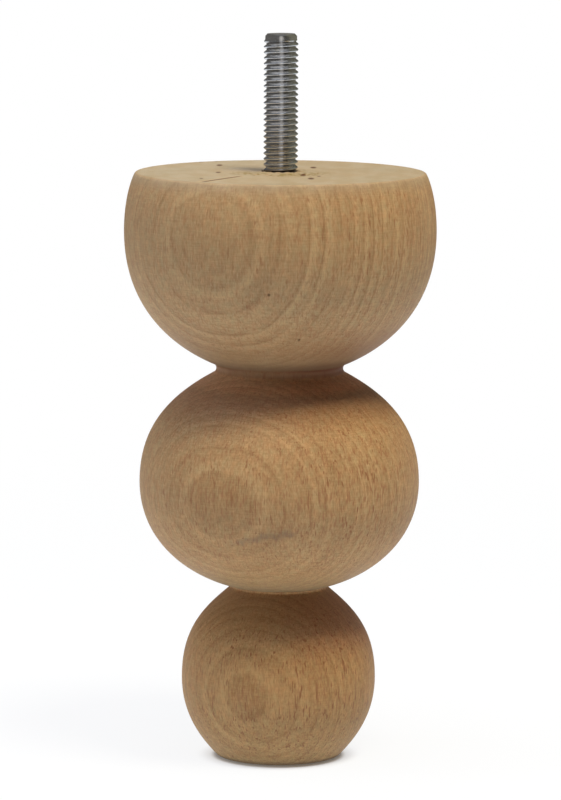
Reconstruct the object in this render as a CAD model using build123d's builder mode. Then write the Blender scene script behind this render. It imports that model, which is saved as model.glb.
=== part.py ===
from build123d import *
import os
from math import cos, radians, sin, tan

# A turned beech furniture foot: a flat-topped bowl over a wide ball over a small ball, all one
# piece of wood, with a steel hanger bolt screwed into the middle of its top.
# Millimetres, +Z up, with the origin in the middle of the base, where the foot meets the floor.

# Heights, each measured from the one before it, from the floor up
floor_to_ball = 17.8
ball_to_ankle = 20.8
ankle_to_middle = 23.9
middle_to_waist = 25.7
waist_to_bowl = 30.9
bowl_to_top = 13.2

# Diameters: the three bellies, the two necks between them, and the base
bowl_diameter = 70.0
waist_diameter = 28.5
middle_diameter = 63.0
ankle_diameter = 21.8
ball_diameter = 43.8
base_diameter = 27.9
rim_inset = 2.5  # from the bowl's fullest radius in to the edge of the top face

# Slopes in degrees above or below the level, where each turned curve ends
rim_slope = 62.0
bowl_slope_at_waist = 23.0
middle_slope_at_waist = 29.0
middle_slope_at_ankle = 15.0
ball_slope_at_ankle = 40.0
base_slope = 46.0

# How full the curves are: a quarter circle would be 0.552
neck_fullness = 0.535  # curves that run into a neck
end_fullness = 0.48  # the short curves to the rim and the base

# Small radii left by the turning tools
waist_cove = 1.3
ankle_cove = 0.4
rim_round = 0.4
base_round = 0.6

# Hanger bolt: machine thread above the wood, a plain shank level with it, and a wood screw below
thread_diameter = 7.9  # over the crests of an M8 thread, which is cut a little under size
shank_diameter = 8.0
relief_diameter = 7.0  # groove where the thread runs out, just above the wood
relief_height = 0.6
screw_diameter = 6.8
tip_diameter = 2.0
stud_length = 30.9  # from the top face to the end of the machine thread
shank_in_wood = 3.4
screw_length = 26.0  # below the shank, with the taper
screw_taper = 7.0
stud_chamfer = 0.9
pilot_spare = 3.0  # room below the screw's tip

# Radii and levels worked out from these
bowl_radius = bowl_diameter / 2
waist_radius = waist_diameter / 2
middle_radius = middle_diameter / 2
ankle_radius = ankle_diameter / 2
ball_radius = ball_diameter / 2
base_radius = base_diameter / 2
rim_radius = bowl_radius - rim_inset

ball_level = floor_to_ball
ankle_level = ball_level + ball_to_ankle
middle_level = ankle_level + ankle_to_middle
waist_level = middle_level + middle_to_waist
bowl_level = waist_level + waist_to_bowl
top_level = bowl_level + bowl_to_top


def turned_curve(belly, end, slope, fullness):
    """Bezier points from a belly, upright there, to an end that it leaves outwards at the slope."""
    belly_radius, belly_level = belly
    end_radius, end_level = end
    towards_belly = 1 if belly_level > end_level else -1
    reach = fullness * (belly_radius - end_radius)
    belly_handle = (belly_radius, belly_level + fullness * (end_level - belly_level))
    end_handle = (end_radius + reach, end_level + towards_belly * reach * tan(radians(slope)))
    return belly, belly_handle, end_handle, end


def cove_end(neck, cove, slope, side):
    """Where a neck's cove runs into the curve above it (side 1) or below it (side -1)."""
    neck_radius, neck_level = neck
    return (
        neck_radius + cove * (1 - sin(radians(slope))),
        neck_level + side * cove * cos(radians(slope)),
    )


base_edge = (base_radius, 0)
ball_belly = (ball_radius, ball_level)
ankle = (ankle_radius, ankle_level)
ankle_below = cove_end(ankle, ankle_cove, ball_slope_at_ankle, -1)
ankle_above = cove_end(ankle, ankle_cove, middle_slope_at_ankle, 1)
middle_belly = (middle_radius, middle_level)
waist = (waist_radius, waist_level)
waist_below = cove_end(waist, waist_cove, middle_slope_at_waist, -1)
waist_above = cove_end(waist, waist_cove, bowl_slope_at_waist, 1)
bowl_belly = (bowl_radius, bowl_level)
rim_edge = (rim_radius, top_level)

# The wood, turned in one piece: its half section follows the profile from the base up to the rim
with BuildPart() as turned_leg:
    with BuildSketch(Plane.XZ):
        with BuildLine():
            Line((0, 0), base_edge)
            Bezier(*turned_curve(ball_belly, base_edge, base_slope, end_fullness))
            Bezier(*turned_curve(ball_belly, ankle_below, ball_slope_at_ankle, neck_fullness))
            ThreePointArc(ankle_below, ankle, ankle_above)
            Bezier(*turned_curve(middle_belly, ankle_above, middle_slope_at_ankle, neck_fullness))
            Bezier(*turned_curve(middle_belly, waist_below, middle_slope_at_waist, neck_fullness))
            ThreePointArc(waist_below, waist, waist_above)
            Bezier(*turned_curve(bowl_belly, waist_above, bowl_slope_at_waist, neck_fullness))
            Bezier(*turned_curve(bowl_belly, rim_edge, rim_slope, end_fullness))
            Line(rim_edge, (0, top_level))
            Line((0, top_level), (0, 0))
        make_face()
    revolve(axis=Axis.Z)
    turned_edges = turned_leg.edges().filter_by(GeomType.CIRCLE)
    fillet(turned_edges.group_by(Axis.Z)[-1], rim_round)
    fillet(turned_edges.group_by(Axis.Z)[0], base_round)
    # The pilot hole is as wide as the bolt that fills it, and a little deeper
    with Locations((0, 0, top_level)):
        CounterBoreHole(
            radius=screw_diameter / 2,
            counter_bore_radius=shank_diameter / 2,
            counter_bore_depth=shank_in_wood,
            depth=shank_in_wood + screw_length + pilot_spare,
        )

# The bolt, seated with its shank's shoulder on the step of the pilot hole
stud_end = top_level + stud_length
thread_start = top_level + relief_height
shank_end = top_level - shank_in_wood
screw_end = shank_end - screw_length

with BuildPart() as hanger_bolt:
    with BuildSketch(Plane.XZ):
        with BuildLine():
            Polyline(
                (0, screw_end),
                (tip_diameter / 2, screw_end),
                (screw_diameter / 2, screw_end + screw_taper),
                (screw_diameter / 2, shank_end),
                (shank_diameter / 2, shank_end),
                (shank_diameter / 2, top_level),
                (relief_diameter / 2, top_level),
                (relief_diameter / 2, thread_start),
                (thread_diameter / 2, thread_start),
                (thread_diameter / 2, stud_end - stud_chamfer),
                (thread_diameter / 2 - stud_chamfer, stud_end),
                (0, stud_end),
                close=True,
            )
        make_face()
    revolve(axis=Axis.Z)

os.makedirs("parts", exist_ok=True)
turned_leg.part.label = "turned_leg"
export_step(turned_leg.part, "parts/turned_leg.step")
hanger_bolt.part.label = "hanger_bolt"
export_step(hanger_bolt.part, "parts/hanger_bolt.step")
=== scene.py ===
import math

import bmesh
import bpy
from mathutils import Matrix, Vector, geometry, noise


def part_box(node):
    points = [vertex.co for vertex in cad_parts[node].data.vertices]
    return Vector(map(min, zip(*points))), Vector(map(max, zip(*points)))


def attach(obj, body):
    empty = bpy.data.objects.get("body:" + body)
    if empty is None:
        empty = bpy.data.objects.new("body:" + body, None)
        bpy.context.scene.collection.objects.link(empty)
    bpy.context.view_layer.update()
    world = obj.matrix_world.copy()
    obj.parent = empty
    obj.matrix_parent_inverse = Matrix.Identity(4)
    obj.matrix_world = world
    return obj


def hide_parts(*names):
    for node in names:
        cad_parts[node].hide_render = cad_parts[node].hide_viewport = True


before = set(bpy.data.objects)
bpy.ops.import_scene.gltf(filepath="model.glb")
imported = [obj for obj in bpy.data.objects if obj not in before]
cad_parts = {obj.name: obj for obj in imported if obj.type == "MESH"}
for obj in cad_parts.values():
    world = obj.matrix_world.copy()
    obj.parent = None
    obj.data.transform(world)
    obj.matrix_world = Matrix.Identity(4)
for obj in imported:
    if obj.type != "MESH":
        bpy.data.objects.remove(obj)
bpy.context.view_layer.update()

# Turned leg: a bowl, a wide ball and a small ball turned from one piece of bare beech, then sanded.
# The top is end grain, drilled for the bolt, which tore and raised the fibres round the hole. A short
# drying check runs in from the rim on the left.
MM = 0.001
leg_low, leg_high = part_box("turned_leg")
floor_level, top_level = leg_low.z, leg_high.z
bowl_level, bowl_radius = 119.1 * MM, leg_high.x
ball_level, ball_radius = 17.8 * MM, 21.9 * MM
ankle_level, ankle_radius = 38.6 * MM, 10.9 * MM
middle_level, middle_radius = 62.5 * MM, 31.5 * MM
waist_level, waist_radius = 88.2 * MM, 14.25 * MM
rim_radius, rim_slope, rim_round = 32.5 * MM, 62, 0.45 * MM
base_radius, base_slope, base_round = 13.95 * MM, 46, 0.3 * MM
waist_cove, waist_slopes = 1.3 * MM, (29, 23)
ankle_cove, ankle_slopes = 0.4 * MM, (40, 15)
neck_fullness, end_fullness = 0.535, 0.48
hole_radius, hole_step, pilot_radius, pilot_end = 4.0 * MM, 128.9 * MM, 3.4 * MM, 99.9 * MM
curve_points, cove_points, leg_steps = 30, 9, 192
rim_room = 4  # points left off the curve to the rim, so that its edge has room for the bevel


def turned_curve(belly, end, slope, fullness):
    """Points from a belly, upright there, to an end that the curve leaves outwards at the slope."""
    belly, end = Vector((belly[0], 0, belly[1])), Vector((end[0], 0, end[1]))
    reach = fullness * (belly.x - end.x)
    towards_belly = 1 if belly.z > end.z else -1
    belly_handle = belly.lerp(Vector((belly.x, 0, end.z)), fullness)
    end_handle = end + reach * Vector((1, 0, towards_belly * math.tan(math.radians(slope))))
    return geometry.interpolate_bezier(belly, belly_handle, end_handle, end, curve_points)


def cove(neck, radius, slopes):
    """Points of the small arc in a neck, from the curve below it to the curve above it."""
    start, stop = math.radians(270 - slopes[0]), math.radians(90 + slopes[1])
    centre = Vector((neck[0] + radius, 0, neck[1]))
    angles = [start + (stop - start) * i / (cove_points - 1) for i in range(cove_points)]
    return [centre + radius * Vector((math.cos(angle), 0, math.sin(angle))) for angle in angles]


base_edge, rim_edge = (base_radius, floor_level), (rim_radius, top_level)
ball = (ball_radius, ball_level)
middle = (middle_radius, middle_level)
bowl = (bowl_radius, bowl_level)
ankle = cove((ankle_radius, ankle_level), ankle_cove, ankle_slopes)
waist = cove((waist_radius, waist_level), waist_cove, waist_slopes)
ankle_ends = [(point.x, point.z) for point in (ankle[0], ankle[-1])]
waist_ends = [(point.x, point.z) for point in (waist[0], waist[-1])]
outline = turned_curve(ball, base_edge, base_slope, end_fullness)[::-1]
outline += turned_curve(ball, ankle_ends[0], ankle_slopes[0], neck_fullness)[1:]
outline += ankle[1:]
outline += turned_curve(middle, ankle_ends[1], ankle_slopes[1], neck_fullness)[-2::-1]
outline += turned_curve(middle, waist_ends[0], waist_slopes[0], neck_fullness)[1:]
outline += waist[1:]
outline += turned_curve(bowl, waist_ends[1], waist_slopes[1], neck_fullness)[-2::-1]
outline += turned_curve(bowl, rim_edge, rim_slope, end_fullness)[1:-rim_room]
outline.append(Vector((rim_radius, 0, top_level)))


def radius_of(vert):
    return vert.co.xy.length


def ring_edges(bm, radius, level):
    """The edges of one circle of a turned mesh."""
    near = {v for v in bm.verts if abs(radius_of(v) - radius) < 1e-6 and abs(v.co.z - level) < 1e-6}
    return [edge for edge in bm.edges if near.issuperset(edge.verts)]


# The half section, with the length along it kept for the marks that sanding left, is spun into the leg
edge_band = 0.7 * MM
fibre_reach, fibre_cuts, top_cuts = 10.5 * MM, 25, 20
top_radii = (rim_radius - edge_band, fibre_reach, hole_radius)
hole_points = (
    (hole_radius, hole_step),
    (pilot_radius, hole_step),
    (pilot_radius, pilot_end),
    (0, pilot_end),
)
base_points = [Vector((0, 0, floor_level)), Vector((base_radius - edge_band, 0, floor_level))]
profile = base_points + outline
profile += [Vector((radius, 0, top_level)) for radius in top_radii]
profile += [Vector((radius, 0, level)) for radius, level in hole_points]
bm = bmesh.new()
run_layer = bm.verts.layers.float.new("run")
chain = [bm.verts.new(point) for point in profile]
links = [bm.edges.new(pair) for pair in zip(chain, chain[1:])]
for vert, last in zip(chain[1:], chain):
    vert[run_layer] = last[run_layer] + (vert.co - last.co).length / MM
first_top = len(base_points) + len(outline)
bmesh.ops.subdivide_edges(bm, edges=[links[first_top]], cuts=top_cuts)
bmesh.ops.subdivide_edges(bm, edges=[links[first_top + 1]], cuts=fibre_cuts)
bmesh.ops.spin(
    bm,
    geom=bm.verts[:] + bm.edges[:],
    axis=(0, 0, 1),
    cent=(0, 0, 0),
    angle=math.tau,
    steps=leg_steps,
    use_merge=True,
)
bmesh.ops.remove_doubles(bm, verts=bm.verts[:], dist=1e-7)
bmesh.ops.recalc_face_normals(bm, faces=bm.faces[:])
for edge, round_size in ((rim_edge, rim_round), (base_edge, base_round)):
    bmesh.ops.bevel(
        bm,
        geom=ring_edges(bm, *edge),
        offset=round_size,
        affect="EDGES",
        segments=3,
        profile=0.5,
        material=-1,
        clamp_overlap=True,
    )

# The drying check: rings of the top face are drawn aside to its line, which is then pressed in
check_outer, check_inner = Vector((-17.1, -25.6)) * MM, Vector((-8.5, -10.4)) * MM
check_depth, check_width = 0.8 * MM, 0.24 * MM
check_opening, check_deepening, mouth_width = 6, 8, 0.3  # the first two per share of its length
check_spread, check_heading = math.radians(26), math.radians(227)
step_angle = math.tau / leg_steps
check_angle = round(check_heading / step_angle) * step_angle
for vert in bm.verts:
    flat = vert.co.xy
    if vert.co.z < top_level - 1e-7 or not check_inner.length < flat.length < check_outer.length:
        continue
    aside = math.remainder(math.atan2(flat.y, flat.x) - check_angle, math.tau)
    if abs(aside) > check_spread:
        continue
    share = (flat.length - check_inner.length) / (check_outer.length - check_inner.length)
    line = check_inner.lerp(check_outer, share)
    bend = math.remainder(math.atan2(line.y, line.x) - check_angle, math.tau)
    fall = 1 - abs(aside) / check_spread
    drawn = check_angle + aside + bend * fall * fall * (3 - 2 * fall)
    steps_off = round(aside / step_angle)
    if abs(steps_off) <= 1:
        open_share = min(1, check_opening * share, check_opening * (1 - share) + mouth_width)
        drawn = check_angle + bend + steps_off * check_width * open_share / flat.length
    if steps_off == 0:
        vert.co.z -= check_depth * min(1, check_deepening * share)
    vert.co.x, vert.co.y = flat.length * math.cos(drawn), flat.length * math.sin(drawn)

# Fibres that the drill tore round the hole: a low collar against the bolt and crumbs further out,
# most of them at the front
collar_height, collar_reach = 0.42 * MM, 2.2 * MM
crumb_height, crumb_radius, crumb_spread, crumb_size = 0.5 * MM, 8.7 * MM, 1.1 * MM, 0.9 * MM
crumbs_behind = 0.25
for vert in bm.verts:
    reach = radius_of(vert)
    if abs(vert.co.z - top_level) > 1e-7 or not hole_radius + 1e-6 < reach < fibre_reach - 1e-6:
        continue
    rough = noise.noise(vert.co / crumb_size)
    collar = max(0, 1 - (reach - hole_radius) / collar_reach) ** 1.5
    crumbs = math.exp(-(((reach - crumb_radius) / crumb_spread) ** 2))
    front = crumbs_behind + (1 - crumbs_behind) * max(0, -vert.co.y / reach)
    vert.co.z += collar_height * collar * (0.8 + 0.5 * rough)
    vert.co.z += crumb_height * crumbs * front * max(0, rough + 0.1)

# How much end grain shows: none where the surface is upright, all where it is level
bm.normal_update()
end_layer = bm.verts.layers.float.new("end_grain")
for vert in bm.verts:
    vert[end_layer] = vert.normal.z ** 2


def finished(name, bm, sharp):
    """The bmesh as a smooth-shaded object, creased where faces meet at more than the sharp angle."""
    mesh = bpy.data.meshes.new(name)
    bm.to_mesh(mesh)
    bm.free()
    mesh.shade_smooth()
    mesh.set_sharp_from_angle(angle=math.radians(sharp))
    piece = bpy.data.objects.new(name, mesh)
    bpy.context.scene.collection.objects.link(piece)
    return piece


leg = finished("leg_wood", bm, 40)


class Shade:
    """One value of a material. Sums on it add Math nodes, and node() adds any other kind."""

    def __init__(self, tree, socket=None):
        self.tree = tree
        self.socket = socket

    def node(self, kind, settings=None, values=None, out=0):
        made = self.tree.nodes.new("ShaderNode" + kind)
        for name, value in (settings or {}).items():
            if name != "stops":
                setattr(made, name, value)
                continue
            while len(made.color_ramp.elements) < len(value):
                made.color_ramp.elements.new(1)
            for element, (place, colour) in zip(made.color_ramp.elements, value):
                element.position, element.color = place, colour
        for key, value in (values or {}).items():
            if isinstance(value, Shade):
                self.tree.links.new(value.socket, made.inputs[key])
            else:
                made.inputs[key].default_value = value
        return Shade(self.tree, made.outputs[out])

    def math(self, operation, *others):
        return self.node("Math", {"operation": operation}, dict(enumerate((self, *others))))

    def __add__(self, other):
        return self.math("ADD", other)

    __radd__ = __add__

    def __sub__(self, other):
        return self.math("SUBTRACT", other)

    def __rsub__(self, other):
        return self.node("Math", {"operation": "SUBTRACT"}, {0: other, 1: self})

    def __mul__(self, other):
        return self.math("MULTIPLY", other)

    __rmul__ = __mul__

    def __truediv__(self, other):
        return self.math("DIVIDE", other)

    def __pow__(self, other):
        return self.math("POWER", other)

    def __neg__(self):
        return self * -1

    def step(self, low, high):
        """0 below low and 1 above high, with a smooth rise between them."""
        return self.node("MapRange", {"interpolation_type": "SMOOTHSTEP"}, {0: self, 1: low, 2: high})

    def clamp(self):
        return self.node("Clamp", None, {0: self})

    def tint(self, low, high):
        """The colour between two others that this value gives."""
        return self.node("Mix", {"data_type": "RGBA"}, {0: self, 6: low, 7: high}, 2)

    def times(self, other):
        """This colour multiplied by another."""
        settings = {"data_type": "RGBA", "blend_type": "MULTIPLY"}
        return self.node("Mix", settings, {0: 1.0, 6: self, 7: other}, 2)

    def xyz(self):
        split = self.node("SeparateXYZ", None, {0: self}).socket.node
        return [Shade(self.tree, out) for out in split.outputs]

    def length(self):
        return self.node("VectorMath", {"operation": "LENGTH"}, {0: self}, "Value")

    def point(self, x, y, z):
        return self.node("CombineXYZ", None, {0: x, 1: y, 2: z})

    def noise(self, detail=2.0, roughness=0.5):
        """Soft noise of about one unit in size, from 0 to 1, where this is a position."""
        values = {"Vector": self, "Scale": 1.0, "Detail": detail, "Roughness": roughness}
        return self.node("TexNoise", None, values)


def new_material(name):
    """A material with its Principled shader, and the place on the piece in millimetres."""
    material = bpy.data.materials.new(name)
    material.use_nodes = True
    tree = material.node_tree
    shader = tree.nodes["Principled BSDF"]
    start = Shade(tree).node("TexCoord", None, None, "Object")
    place = start.node("VectorMath", {"operation": "SCALE"}, {0: start, "Scale": 1 / MM}, 0)
    return material, shader, place


def feed(shader, name, value):
    shader.id_data.links.new(value.socket, shader.inputs[name])


# Beech, flat sawn: its growth rings are nearly plane here and face the front left, leaning a little
# differently at each ball. Each year starts with a pale band and ends in a thin, broken darker line.
# The rings' turn, in radians, and their lean are curves in the height above ring_middle.
beech, beech_shader, place = new_material("beech")
x, y, z = place.xyz()
waist_mm, ankle_mm, top_mm = waist_level / MM, ankle_level / MM, top_level / MM
ring_middle, year_width, last_year, eye_line = 61, 2.55, 31.1, 32.4
turn_start, turn_slope, turn_bow = 2.725, -0.00172, 0.0000205
lean_start, lean_slope, lean_bow, lean_twist = 0.63, -0.065, 0.00031, 4.6e-6
ankle_shift, waist_shift = 0.4, 1.4
rise = z - ring_middle
facing = turn_start + turn_slope * rise + turn_bow * rise**2
lean = lean_start + lean_slope * rise + lean_bow * rise**2 + lean_twist * rise**3
lean = lean - ankle_shift * z.step(28, 48) - waist_shift * z.step(82, 108)
out_x, out_y = facing.math("SINE"), -facing.math("COSINE")
along = x * out_x + y * out_y
across = y * out_x - x * out_y
waver = place.point(x / 14, y / 14, z / 22).noise(1.0) - 0.5
ripple = place.point(x / 2.2, y / 2.2, z / 5).noise(1.0) - 0.5
uneven = place.point((lean - along) / 6, 4.3, 1.7).noise(0.0) - 0.5
depth = lean - along + waver * 1.2 + ripple * 0.3 + uneven * 4.0
year = (last_year - depth) / year_width
part = year.math("FRACT")
own_tone = year.node("TexWhiteNoise", {"noise_dimensions": "1D"}, {"W": year.math("FLOOR")})
early = part.step(0.0, 0.14) * (1 - part.step(0.14, 0.7)) * (0.3 + own_tone * 0.9)
broken = place.point(x / 5, y / 5, z / 9).noise(1.0).step(0.36, 0.6)
heart = (depth - last_year).step(-0.05, 0.2)
late = part.step(0.78, 0.95) * (1 - part.step(0.95, 1.0)) * broken * (1 - heart * 0.6)
late = late + (1 - (depth - eye_line).math("ABSOLUTE").step(0.04, 0.22)) * broken * 0.35
layer = place.point(depth / 0.5, across / 12, z / 22).noise(2.0, 0.6) - 0.5

# Finer grain: upright fibres, and marks left by sanding round the turned leg
ends = place.node("Attribute", {"attribute_name": "end_grain"}, None, "Fac")
run = place.node("Attribute", {"attribute_name": "run"}, None, "Fac")
from_axis = (x**2 + y**2).math("SQRT")
round_radius = 30  # marks that run round the leg are spaced as on a circle this wide
round_x, round_y = x / from_axis * round_radius, y / from_axis * round_radius
fibre = place.point(x / 0.5, y / 0.5, z / 6).noise(3.0, 0.65) - 0.5
strand = place.point(x / 0.28, y / 0.28, z / 1.3).noise(2.0, 0.6) - 0.5
sanding = place.point(round_x / 2.6, round_y / 2.6, run / 0.3).noise(1.0, 0.6) - 0.5
patch = place.point(x / 9, y / 9, z / 16).noise(2.0) - 0.5
blush = place.point(x / 1.2, y / 1.2, z / 2.0).noise(2.0) - 0.5
on_bowl = z.step(80, 100)
early_share = 0.12 + 0.26 * x.step(-28, -16) - 0.1 * x.step(-8, 4)
early_share = early_share * (0.8 + 0.2 * on_bowl)
late_share = 0.28 + 0.08 * on_bowl
layer_share = 0.4 + 0.2 * x.step(-22, 8)
strand_share = 1.6 - 0.2 * z.step(30, 50) - 0.4 * z.step(65, 100)
heart_share = 0.1 - 0.16 * on_bowl
tone = 0.5 + early * early_share - late * late_share + layer * layer_share - heart * heart_share
tone = tone + fibre * 0.9 + strand * strand_share + sanding * (0.6 + ends) + patch * 0.4

# Rays and pores that the turning cut through: short dashes in lines, more of them on the right
more = 0.66 + 0.34 * x.step(-6, 26)
more = more * (1.65 - 0.15 * z.step(25, 55) - 0.5 * z.step(65, 112))
crowd = place.point(depth / 1.3, across / 4, z / 8).noise(1.0).step(0.3, 0.6)
flecks = place.point(round_x / 0.44, round_y / 0.44, run / 1.8).noise(1.0).step(0.53, 0.69)
flecks = flecks * more * (0.75 + 0.25 * z.step(20, 42))
rays = place.point(x / 0.44 + 17, y / 0.44, z / 3.6 + 5).noise(1.0).step(0.58, 0.7)
rays = rays * crowd * more * (1.3 - 0.3 * z.step(25, 48))

pale_beech, dark_beech = (0.578, 0.364, 0.164, 1), (0.358, 0.193, 0.076, 1)
red_beech, green_beech = (1.08, 0.96, 0.91, 1), (0.93, 1.025, 1.04, 1)
warm_foot, cool_bowl = (0.94, 0.838, 0.715, 1), (1.0, 1.018, 1.07, 1)
fleck_red, ray_brown = (0.37, 0.162, 0.068, 1), (0.295, 0.116, 0.042, 1)
wood = tone.clamp().tint(dark_beech, pale_beech)
wood = wood.times((0.5 + blush * 1.6).clamp().tint(green_beech, red_beech))
wood = wood.times(z.step(5, 95).tint(warm_foot, cool_bowl))
wood = (flecks * 0.55).clamp().tint(wood, fleck_red)
wood = (rays * 0.7).clamp().tint(wood, ray_brown)

# Painted shade round the necks: darker brown in the waist, under the bowl and below the ankle, more on
# the right where shade falls. Just below the waist a band is painted paler and redder for bounced light,
# further down redder and darker for shade, and on the right a plum shade is painted below the ankle.
neck_shade_brown, plain_white = (0.21, 0.07, 0.026, 1), (1, 1, 1, 1)
bounce_glow_tint, crevice_light_tint = (1.1, 0.98, 1.06, 1), (1.45, 1.27, 1.28, 1)
red_shade_tint, plum_shade_tint = (0.92, 0.86, 0.84, 1), (0.96, 0.84, 0.97, 1)
pale_band = 2.2
over_waist, under_waist, under_ankle = z - waist_mm, waist_mm - z, ankle_mm - z
right_shade_share = x.step(-5, 15)
painted_neck_shade = over_waist.step(-1.3, -0.3) * (1 - over_waist.step(1.0, 3.8)) * (0.56 + 0.32 * right_shade_share)
painted_neck_shade = painted_neck_shade + over_waist.step(0.0, 2.0) * (1 - over_waist.step(4, 15)) * (0.24 + 0.34 * right_shade_share)
painted_neck_shade = painted_neck_shade + under_ankle.step(-0.3, 0.8) * (1 - under_ankle.step(1, 10)) * 0.34
painted_bounce = under_waist.step(-1, 3) * (1 - under_waist.step(4, 10))
painted_crevice_light = 1 - (under_waist - pale_band).math("ABSOLUTE").step(0.6, 2.2)
painted_crevice_light = painted_crevice_light * (0.68 + 0.32 * right_shade_share)
painted_plum_shade = under_ankle.step(0, 2) * (1 - under_ankle.step(8, 16)) * right_shade_share
painted_red_shade = under_waist.step(2.5, 5) * (1 - under_waist.step(8, 13))
wood = painted_neck_shade.clamp().tint(wood, neck_shade_brown)
for share, shade in ((painted_bounce, bounce_glow_tint), (painted_crevice_light, crevice_light_tint), (painted_plum_shade, plum_shade_tint), (painted_red_shade, red_shade_tint)):
    wood = wood.times(share.tint(plain_white, shade))

# The end grain of the top is greyer, and so is the bowl close to its rim; the top's left side is painted
# paler and cooler, as light from the left. Dirt has gathered in the torn fibres round the bolt. A ring
# round the bolt and the wood along the check are darkened for dirt and painted shade, and the bottom
# edge is painted darker for shade.
end_grey, end_yellow = (0.385, 0.307, 0.188, 1), (0.345, 0.264, 0.146, 1)
left_light_pale, fibre_brown = (1.04, 1.07, 1.13, 1), (0.25, 0.175, 0.052, 1)
dirt_shade_brown, edge_shade_brown = (0.06, 0.04, 0.026, 1), (0.14, 0.075, 0.036, 1)
on_top = (z + fibre * 0.9).step(top_mm - 0.8, top_mm)
by_rim = (z + fibre * 0.6).step(top_mm - 3.5, top_mm + 0.1)
bare = (ends**4).math("MAXIMUM", by_rim * 0.6)
clouds = place.point(x / 4, y / 9, 3.1).noise(2.0)
end_wood = clouds.step(0.3, 0.7).tint(end_grey, end_yellow)
# painted light: the left side of the top paler and cooler
end_wood = end_wood.times(x.step(-25, 15).tint(left_light_pale, plain_white))
wood = (bare * (0.85 + patch * 0.5 + blush * 0.5)).clamp().tint(wood, end_wood)
shreds = place.point(x / 0.8, y / 2.6, 0.5).noise(1.0).step(0.46, 0.6)
torn = on_top * from_axis.step(4.6, 6.2) * (1 - from_axis.step(9.5, 14)) * shreds * (1 - y.step(-6, 3))
grime_shade_ring = on_top * (1 - from_axis.step(4.05, 4.6))
check_way = (check_inner - check_outer).normalized()
check_length = (check_inner - check_outer).length / MM
check_x, check_y = x - check_outer.x / MM, y - check_outer.y / MM
check_aside = check_x * check_way.y - check_y * check_way.x
check_along = check_x * check_way.x + check_y * check_way.y
check = check_along.step(-1, 2) * (1 - check_along.step(check_length - 3, check_length + 0.5))
check = check * (1 - check_aside.math("ABSOLUTE").step(0.2, 0.5)) * z.step(top_mm - 2.3, top_mm - 1.3)
# painted shade: the wood darker along the bottom edge, next to the floor
painted_edge_shade = 1 - (z + fibre * 0.6).step(0.2, 1.2)
wood = (torn * 0.9).clamp().tint(wood, fibre_brown)
# dirt and painted shade: a dark ring where the bolt goes into the wood, and along the check
wood = (grime_shade_ring * 0.7 + check * 0.95).clamp().tint(wood, dirt_shade_brown)
wood = (painted_edge_shade * 0.7).tint(wood, edge_shade_brown)

# Marks: brown specks in the end grain, longer than wide, and two pin knots in the bowl
speck_brown, speck_stretch = (0.085, 0.026, 0.006, 1), 0.3
end_specks = (
    (-13.9, 17.3, 0.95),
    (-13.9, -1.5, 0.8),
    (-17.4, -17.3, 0.6),
    (-18.3, 26.8, 0.8),
    (-14.9, 29.1, 0.7),
    (7.4, 12.2, 0.95),
    (5.0, -8.2, 0.9),
    (6.7, -16.1, 1.0),
    (8.5, -10.2, 0.6),
)
pin_knots = ((-2.4, -33.3, 108.45, 0.42), (4.2, -26.9, 97.85, 0.45))
specks = 0
for speck_x, speck_y, size in end_specks:
    near = ((x - speck_x) ** 2 + ((y - speck_y) * speck_stretch) ** 2).math("SQRT")
    specks = specks + (1 - near.step(size * 0.4, size * 0.95)) * (0.4 + size * 0.6)
specks = specks * on_top
for pin_x, pin_y, pin_z, size in pin_knots:
    near = ((x - pin_x) ** 2 + (y - pin_y) ** 2 + ((z - pin_z) * 0.8) ** 2).math("SQRT")
    specks = specks + 0.8 * (1 - near.step(size * 0.4, size))
wood = (specks.clamp() * 0.92).tint(wood, speck_brown)

# A grey rub across the front of the wide ball, which rises a little to the right
rub_grey = (0.17, 0.105, 0.072, 1)
rub_x, rub_z, rub_rise = -1.3, 54.7, 0.2
rub_off = (z - rub_z) - (x - rub_x) * rub_rise + ripple * 2.5
rub = (1 - rub_off.math("ABSOLUTE").step(0.1, 1.2)) * x.step(-13, -7) * (1 - x.step(2.5, 4.5))
rub = rub * (1 - y.step(-26, -22)) * (0.55 + fibre * 2.2 + strand)
wood = (rub.clamp() * 0.68).tint(wood, rub_grey)

height = fibre * 0.6 + strand * 0.4 - flecks * 0.2 - rays * 0.3 + sanding * 0.4
bump = height.node("Bump", None, {"Strength": 0.35, "Distance": 0.06 * MM, "Height": height})
feed(beech_shader, "Base Color", wood)
feed(beech_shader, "Roughness", 0.6 + fibre * 0.16 - rays * 0.05)
feed(beech_shader, "Normal", bump)
beech_shader.inputs["Specular IOR Level"].default_value = 0.35
leg.data.materials.append(beech)
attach(leg, "root")
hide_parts("turned_leg")

# Hanger bolt: steel rod with a rolled M8 machine thread above the wood, a plain shank level with it
# and a coarse wood screw below, zinc plated. It is driven into the pilot hole until the shank is in.
bolt_low, bolt_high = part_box("hanger_bolt")
stud_end, screw_end = bolt_high.z, bolt_low.z
thread_pitch, thread_crest, thread_root = 1.25 * MM, 3.84 * MM, 3.2 * MM
screw_pitch, screw_crest, screw_root, screw_taper = 3.2 * MM, 3.4 * MM, 2.5 * MM, 7.0 * MM
shank_top, shank_end, shank_radius = 132.0 * MM, 128.9 * MM, 3.84 * MM
shank_fade, screw_fade = 0.4 * MM, 0.3 * MM
point_radius, end_radius, tip_radius, least_radius = 3.55 * MM, 3.05 * MM, 1.0 * MM, 0.2 * MM
fade_start, fade_stop, fade_depth = stud_end - 1.9 * MM, stud_end - 0.7 * MM, 0.15
point_start, point_stop = stud_end - 1.8 * MM, stud_end - 1.2 * MM
crest_level = 160.26 * MM  # of a crest on the left, as the thread stands in the wood
seam_gap, end_margin = 0.005 * MM, 0.2 * MM
bolt_steps, spare_turns = 96, 2

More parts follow.
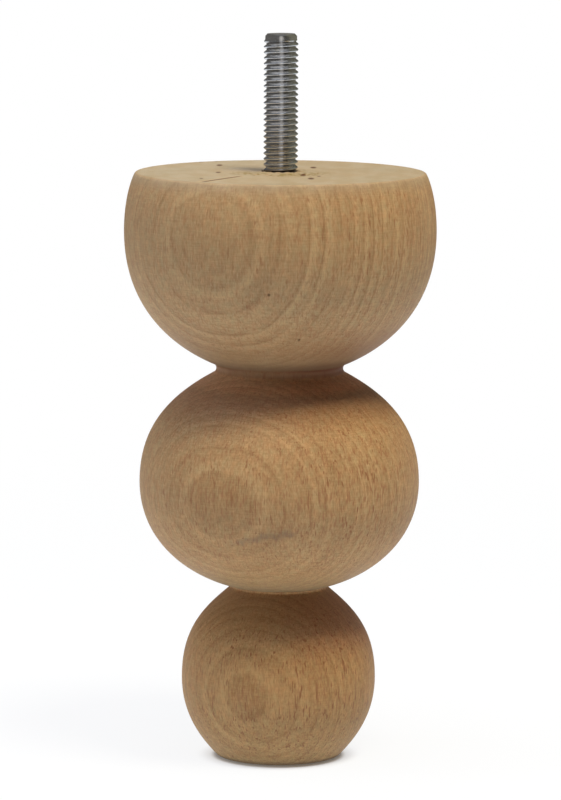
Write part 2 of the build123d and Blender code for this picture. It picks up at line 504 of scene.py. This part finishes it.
# One thread turn, from crest to crest: how far in from the crest, and how far along the pitch
turn_shape = (
    (0, -0.07),
    (0, 0.07),
    (0.1, 0.12),
    (0.5, 0.285),
    (0.88, 0.445),
    (1, 0.5),
    (0.88, 0.555),
    (0.5, 0.715),
    (0.1, 0.88),
)
groove = thread_crest - thread_root
stretch = screw_pitch / thread_pitch
low_length = (crest_level - shank_end) + (shank_end - screw_end) / stretch
crest_turns = math.ceil((stud_end - crest_level) / thread_pitch) + spare_turns
low_turns = math.ceil(low_length / thread_pitch) + spare_turns
bm = bmesh.new()
chain = []
for turn in range(-low_turns, crest_turns):
    for inward, along_pitch in turn_shape:
        level = crest_level + (turn + along_pitch) * thread_pitch
        chain.append(bm.verts.new((inward * groove - thread_crest, 0, level)))
for pair in zip(chain, chain[1:]):
    bm.edges.new(pair)
bmesh.ops.spin(
    bm,
    geom=bm.verts[:] + bm.edges[:],
    axis=(0, 0, 1),
    cent=(0, 0, 0),
    dvec=(0, 0, thread_pitch / bolt_steps),
    angle=math.tau,
    steps=bolt_steps,
    use_merge=False,
)
bmesh.ops.remove_doubles(bm, verts=bm.verts[:], dist=seam_gap)


def blend(value, low, high):
    """0 below low and 1 above high, with a smooth rise between them."""
    share = min(1, max(0, (value - low) / (high - low)))
    return share * share * (3 - 2 * share)


# The even thread becomes the bolt: drawn out into the coarse screw below the shank, filled in along
# the shank, and fading out towards the chamfered end
for vert in bm.verts:
    crestness = (radius_of(vert) - thread_root) / groove
    level = vert.co.z
    if level < shank_end:
        level = shank_end + (level - shank_end) * stretch
        taper = tip_radius + (level - screw_end) / screw_taper * (screw_crest - tip_radius)
        crest = min(screw_crest, taper)
        root = max(least_radius, crest - (screw_crest - screw_root))
        reach = root + crestness**3 * (crest - root)
        reach = shank_radius - (shank_radius - reach) * blend(shank_end - level, 0, screw_fade)
        reach = max(reach, least_radius)
    else:
        reach = thread_root + crestness * groove
        reach = shank_radius + (reach - shank_radius) * blend(level, shank_top, shank_top + shank_fade)
    if level > shank_top:
        shallow = 1 - (1 - fade_depth) * blend(level, fade_start, fade_stop)
        reach = thread_crest - (thread_crest - reach) * shallow
    cone = thread_crest - (thread_crest - point_radius) * blend(level, point_start, point_stop)
    reach = min(reach, cone, end_radius + max(0, stud_end - level))
    vert.co = Vector((*(vert.co.xy.normalized() * reach), level))
for level, way in ((stud_end, 1), (screw_end, -1)):
    cut = bmesh.ops.bisect_plane(
        bm,
        geom=bm.verts[:] + bm.edges[:] + bm.faces[:],
        plane_co=(0, 0, level),
        plane_no=(0, 0, way),
        clear_outer=True,
    )
    rim = [item for item in cut["geom_cut"] if isinstance(item, bmesh.types.BMEdge)]
    caps = bmesh.ops.edgeloop_fill(bm, edges=rim)["faces"]
    bmesh.ops.inset_region(bm, faces=caps, thickness=end_margin, use_even_offset=True)
bmesh.ops.recalc_face_normals(bm, faces=bm.faces[:])
bolt = finished("hanger_bolt_thread", bm, 50)

# Zinc plating: bright where the crests were rubbed, greyer in the grooves, partly as painted shade,
# stained in patches, painted dark brown at the foot for the shade where it meets the wood, and dull
# on the cut end
groove_shade_grey, zinc_grey = (0.62, 0.62, 0.63, 1), (0.72, 0.785, 0.9, 1)
stain_yellow, bolt_shade_brown = (0.6, 0.57, 0.47, 1), (0.12, 0.075, 0.06, 1)
zinc, zinc_shader, place = new_material("zinc_plating")
x, y, z = place.xyz()
end_mm = stud_end / MM
from_axis = (x**2 + y**2).math("SQRT")
crest_wear_and_groove_shade = from_axis.step(3.45, 3.95)
grime = place.point(x / 1.6, y / 1.6, z / 2.2).noise(3.0) - 0.5
scuff = place.point(x / 0.5, y / 0.5, z / 0.12).noise(2.0) - 0.5
bolt_foot_shade = 1 - (z + grime * 0.6).step(top_mm + 0.3, top_mm + 1.2)
cut_end = z.step(end_mm - 0.15, end_mm - 0.05)
# rubbed crests are brighter, and the grooves are greyer, partly as painted shade
plating = (crest_wear_and_groove_shade * 0.9 + grime * 0.3).clamp().tint(groove_shade_grey, zinc_grey)
plating = (grime.step(0.02, 0.3) * 0.5).tint(plating, stain_yellow)
# painted shade: dark brown at the foot of the bolt
plating = (bolt_foot_shade * 0.85).tint(plating, bolt_shade_brown)
dents = scuff * 0.12 + grime
bump = dents.node("Bump", None, {"Strength": 1.0, "Distance": 0.05 * MM, "Height": dents})
feed(zinc_shader, "Base Color", plating)
feed(zinc_shader, "Roughness", 0.2 + grime * 0.16 + scuff * 0.14 + cut_end * 0.35)
feed(zinc_shader, "Normal", bump)
zinc_shader.inputs["Metallic"].default_value = 1.0
bolt.data.materials.append(zinc)
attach(bolt, "root")
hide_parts("hanger_bolt")

# Studio floor: a pale sheet that runs far back, so it is all that shows behind the foot. It looks
# white to the camera and in reflections and keeps the foot's shadow. Close round the foot it glows a
# cool white that lights the foot from below; further off it bounces light as pale paper and then as a
# grey table.
floor_white, paper_white, table_grey = (1, 1, 1, 1), (0.82, 0.87, 0.9, 1), (0.3, 0.3, 0.3, 1)
shadow_white, glow_cool = (0.86, 0.87, 0.86, 1), (0.82, 1, 1.12, 1)
floor_reach, floor_parts = 5.0, 8
paper_near, paper_far = 0.25, 0.6
glow_near, glow_far, glow_share = 0.03, 0.07, 0.74
shadow_near, shadow_far, shadow_share = 0.12, 0.5, 0.11
contact_start, contact_reach, contact_share = -1.0 * MM, 5.0 * MM, 0.4
edge_reach, edge_share = 1.6 * MM, 0.42
contact_shift = (0, 1.6 * MM, 0)
bm = bmesh.new()
bmesh.ops.create_grid(bm, x_segments=floor_parts, y_segments=floor_parts, size=floor_reach)
floor = finished("studio_floor", bm, 40)


def bare_material(name):
    """A material with no shader yet, its output, and a start for its nodes."""
    material = bpy.data.materials.new(name)
    material.use_nodes = True
    tree = material.node_tree
    tree.nodes.remove(tree.nodes["Principled BSDF"])
    return material, tree.nodes["Material Output"], Shade(tree)


def looked_at(start):
    """1 for what the camera sees, also by way of metal or glass, and 0 for rays that carry light."""
    kinds = ("Camera", "Glossy", "Transmission")
    seen, mirrored, passed = (
        start.node("LightPath", None, None, "Is " + kind + " Ray") for kind in kinds
    )
    return seen.math("MAXIMUM", mirrored).math("MAXIMUM", passed)


paper, paper_output, start = bare_material("studio_paper")
place = start.node("TexCoord", None, None, "Object")
away = place.length()
shifted = place.node("VectorMath", {"operation": "ADD"}, {0: place, 1: contact_shift})
from_edge = shifted.length() - base_radius
contact = (1 - from_edge.step(contact_start, contact_reach)) * contact_share
contact = contact + (1 - from_edge.step(0.0, edge_reach)) * edge_share
shadow = (1 - away.step(shadow_near, shadow_far)) * shadow_share + contact
glow = (1 - away.step(glow_near, glow_far)) * glow_share
sheet = start.node("BsdfDiffuse", None, {"Color": paper_white})
table = start.node("BsdfDiffuse", None, {"Color": table_grey})
shaded = start.node("BsdfDiffuse", None, {"Color": shadow_white})
white = start.node("Emission", None, {"Color": floor_white, "Strength": 1.0})
cool_glow = start.node("Emission", None, {"Color": glow_cool, "Strength": 1.0})
lit = start.node("MixShader", None, {0: away.step(paper_near, paper_far), 1: sheet, 2: table})
bounce = start.node("MixShader", None, {0: glow, 1: lit, 2: cool_glow})
seen = start.node("MixShader", None, {0: shadow, 1: white, 2: shaded})
shown = start.node("MixShader", None, {0: looked_at(start), 1: bounce, 2: seen})
feed(paper_output, "Surface", shown)
floor.data.materials.append(paper)

# Sky: the white wall of the studio, all round. Only the camera and reflections see it, and it adds no
# light of its own to the foot.
world = bpy.data.worlds.new("studio_sky")
bpy.context.scene.world = world
world.use_nodes = True
sky = world.node_tree.nodes["Background"]
sky.inputs["Color"].default_value = floor_white
feed(sky, "Strength", looked_at(Shade(world.node_tree)))

# Grey drape: a cloth dome round the foot that only reflections see, with one bright window on the
# camera's side, another behind the foot, and a dark gap right of the first. It gives the bolt's thread
# something to reflect. Its tones go round it from behind the foot, by way of the left.
drape_radius, drape_height, drape_foot = 0.6, (top_level + stud_end) / 2, 0.01
drape_strength = 3.15
zenith_grey, cloth_warm = (0.064, 0.064, 0.064, 1), (1.06, 1.01, 0.93, 1)
zenith_start, zenith_full = 0.88, 0.964
cloth_tones = (
    (0.0, (0.22, 0.22, 0.22, 1)),
    (0.018, (0.045, 0.045, 0.045, 1)),
    (0.3, (0.044, 0.044, 0.044, 1)),
    (0.46, (0.036, 0.036, 0.036, 1)),
    (0.487, (0.2, 0.2, 0.2, 1)),
    (0.524, (0.2, 0.2, 0.2, 1)),
    (0.56, (0.022, 0.022, 0.021, 1)),
    (0.64, (0.02, 0.02, 0.017, 1)),
    (0.72, (0.065, 0.065, 0.052, 1)),
    (0.9, (0.065, 0.065, 0.052, 1)),
    (0.95, (0.025, 0.025, 0.02, 1)),
    (0.982, (0.025, 0.025, 0.02, 1)),
    (1.0, (0.22, 0.22, 0.22, 1)),
)
bm = bmesh.new()
bmesh.ops.create_uvsphere(
    bm,
    u_segments=64,
    v_segments=32,
    radius=drape_radius,
    matrix=Matrix.Translation((0, 0, drape_height)),
)
bmesh.ops.bisect_plane(
    bm,
    geom=bm.verts[:] + bm.edges[:] + bm.faces[:],
    plane_co=(0, 0, drape_foot),
    plane_no=(0, 0, -1),
    clear_outer=True,
)
drape = finished("studio_drape", bm, 40)
drape_cloth, drape_output, start = bare_material("studio_drape_cloth")
x, y, z = start.node("TexCoord", None, None, "Object").xyz()
way_round = x.math("ARCTAN2", -y) / math.tau + 0.5
climb = (z - drape_height) / drape_radius
cloth = way_round.node("ValToRGB", {"stops": cloth_tones}, {0: way_round}).times(cloth_warm)
cloth = climb.step(zenith_start, zenith_full).tint(cloth, zenith_grey)
feed(drape_output, "Surface", start.node("Emission", None, {"Color": cloth, "Strength": drape_strength}))
drape.data.materials.append(drape_cloth)
for ray in ("camera", "diffuse", "transmission", "volume_scatter", "shadow"):
    setattr(drape, "visible_" + ray, False)

# Lamps: one small warm key lamp high on the right, large cool soft boxes overhead, and panels low down
# behind and on the left. Each is given by where it stands from the foot, its width, power and colour.
warm, cool, cooler = (1.12, 1.05, 0.83), (0.9, 0.94, 1.13), (0.83, 0.95, 1.38)
plain, plain_cool = (0.95, 1, 1.05), (0.86, 1, 1.2)
lamps = (
    ("key", 40, 69, 0.31, 10.4, warm),
    ("overhead_box", 0, 90, 0.8, 3.3, cool),
    ("front_box", 0, 72, 0.8, 2.9, cool),
    ("left_box", 270, 72, 0.8, 2.3, cooler),
    ("front_left_box", 315, 72, 0.8, 1.6, cooler),
    ("left_panel", 270, 17, 0.5, 2.45, plain_cool),
    ("back_panel", 180, 8, 0.5, 2.3, plain),
    ("back_left_panel", 225, 8, 0.5, 1.95, plain),
    ("back_right_panel", 135, 8, 0.5, 1.5, plain),
)
lamp_distance, lamp_target = 1.2, Vector((0, 0, 0.08))
for name, azimuth, elevation, width, power, colour in lamps:
    bearing, tilt = math.radians(azimuth), math.radians(elevation)
    level_reach = math.cos(tilt)
    way = Vector((math.sin(bearing) * level_reach, -math.cos(bearing) * level_reach, math.sin(tilt)))
    lamp = bpy.data.objects.new(name, bpy.data.lights.new(name, "AREA"))
    lamp.data.shape = "SQUARE"
    lamp.data.size = width
    lamp.data.energy = power
    lamp.data.color = colour
    lamp_place = lamp_target + way * lamp_distance
    lamp.matrix_world = Matrix.LocRotScale(lamp_place, way.to_track_quat("Z", "Y"), None)
    lamp.visible_camera = False
    lamp.visible_glossy = False
    bpy.context.scene.collection.objects.link(lamp)

# Camera: a long lens a metre away, a little above the foot and looking slightly down at it. Its focal
# length is in pixels of the photograph's height, and the tiny roll is the photograph's own.
photo_height, focal_pixels, sensor = 800, 4571.8, 36
camera_place = Vector((0.00021, -1.01905, 0.22093))
pitch, roll = 0.13657, 0.0045
camera = bpy.data.objects.new("camera", bpy.data.cameras.new("camera"))
camera.data.sensor_width = sensor
camera.data.lens = focal_pixels * sensor / photo_height
aim = Matrix.Rotation(math.pi / 2 - pitch, 4, "X") @ Matrix.Rotation(roll, 4, "Z")
camera.matrix_world = Matrix.Translation(camera_place) @ aim
bpy.context.scene.collection.objects.link(camera)
bpy.context.scene.camera = camera
bpy.context.scene.view_settings.view_transform = "Standard"
